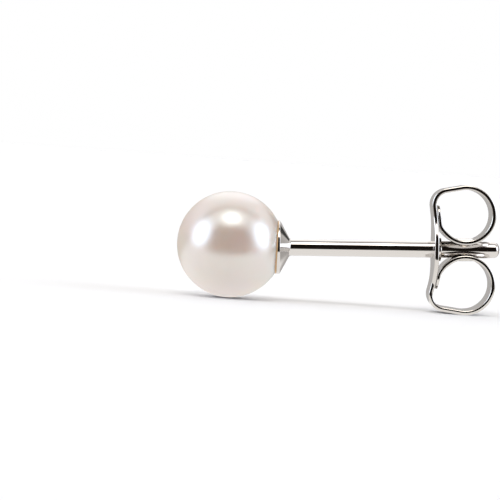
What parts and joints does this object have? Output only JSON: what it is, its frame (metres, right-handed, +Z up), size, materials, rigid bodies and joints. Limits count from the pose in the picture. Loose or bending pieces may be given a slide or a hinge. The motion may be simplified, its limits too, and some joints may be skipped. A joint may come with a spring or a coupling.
{
  "type": "pearl stud earring",
  "caption": "Pearl stud earring: a round pearl on a cup and straight post, with a butterfly clutch that slides on the post.",
  "frame": {"origin": "centre of the bounding box, on the level surface that the stud lies on", "axes": "+X along the post from the pearl to the tip, seen from above, +Y across the clutch, +Z up"},
  "size_m": [0.0152, 0.005, 0.006],
  "materials": {
    "nacre": "pearl lustre",
    "post_metal": "polished white gold",
    "clutch_metal": "polished white gold"
  },
  "bodies": {
    "stud": {"pearl": "nacre", "post_and_cup": "post_metal"},
    "clutch": {"butterfly_clutch": "clutch_metal"}
  },
  "joints": [
    {"name": "clutch_slide", "type": "slide", "parent": "stud", "child": "clutch", "axis": [0.9984, 0, 0.0563], "range_m": [-0.0066, 0.004]}
  ]
}
